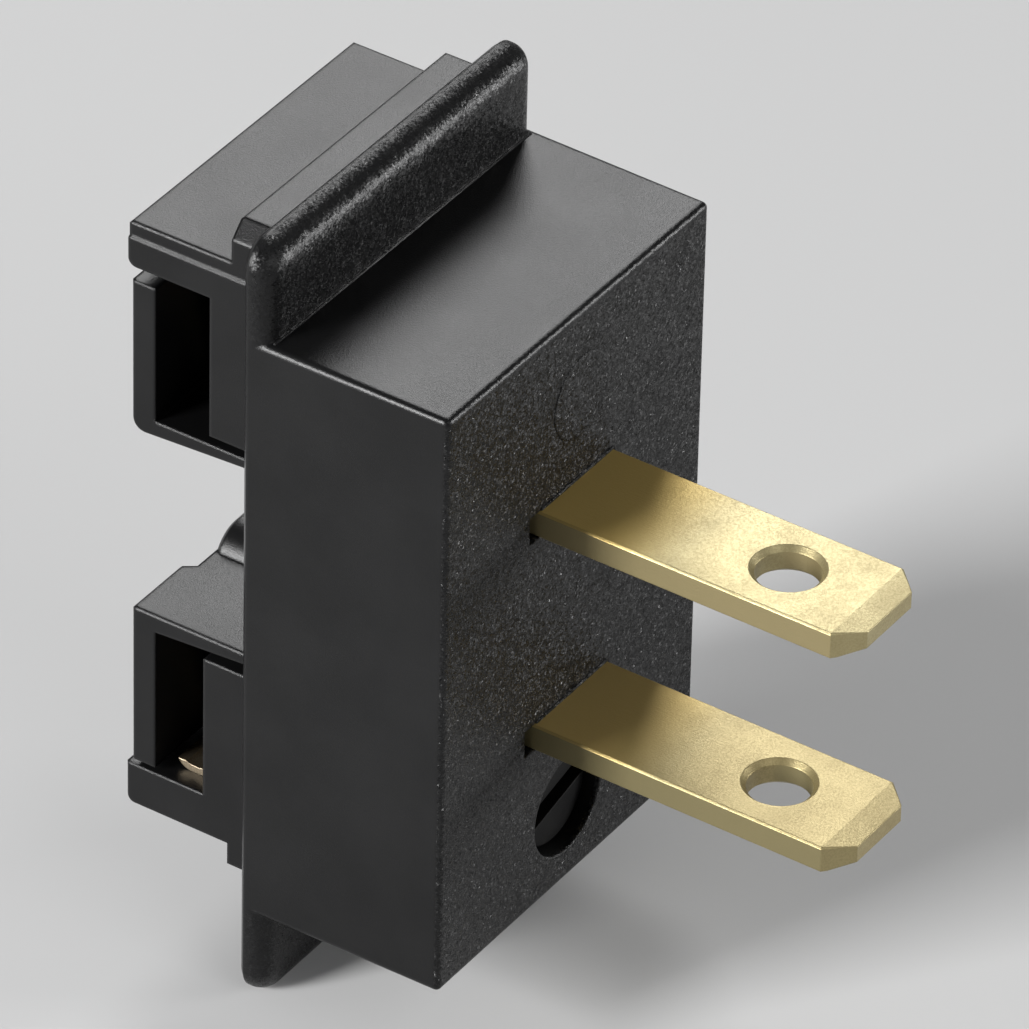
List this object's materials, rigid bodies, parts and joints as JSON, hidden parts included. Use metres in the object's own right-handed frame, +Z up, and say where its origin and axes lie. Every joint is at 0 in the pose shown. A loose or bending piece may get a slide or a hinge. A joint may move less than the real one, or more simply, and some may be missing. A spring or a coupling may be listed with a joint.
{
  "type": "two-blade plug adapter",
  "caption": "Black moulded plug adapter with two flat brass blades, a thin flange and a rear part that carries sprung side-entry contacts.",
  "frame": {"origin": "middle of the front face, half way between the two blades", "axes": "-Y along the blades towards their tips, +Z up across the two blades, X across the width"},
  "size_m": [0.0222, 0.0372, 0.0446],
  "materials": {
    "textured_black_plastic": "satin sides, spark-eroded front",
    "satin_black_plastic": "satin",
    "blade_brass": "satin",
    "contact_bronze": "satin",
    "rivet_brass": "satin",
    "black_screw": "satin"
  },
  "bodies": {
    "root": {"front_housing": "textured_black_plastic", "rear_body": "satin_black_plastic", "contact_cover": "satin_black_plastic", "upper_blade": "blade_brass", "lower_blade": "blade_brass", "upper_contact": "contact_bronze", "lower_contact": "contact_bronze", "upper_rivet": "rivet_brass", "lower_rivet": "rivet_brass", "clamp_screw": "black_screw", "screw_insert": "rivet_brass"}
  },
  "joints": []
}
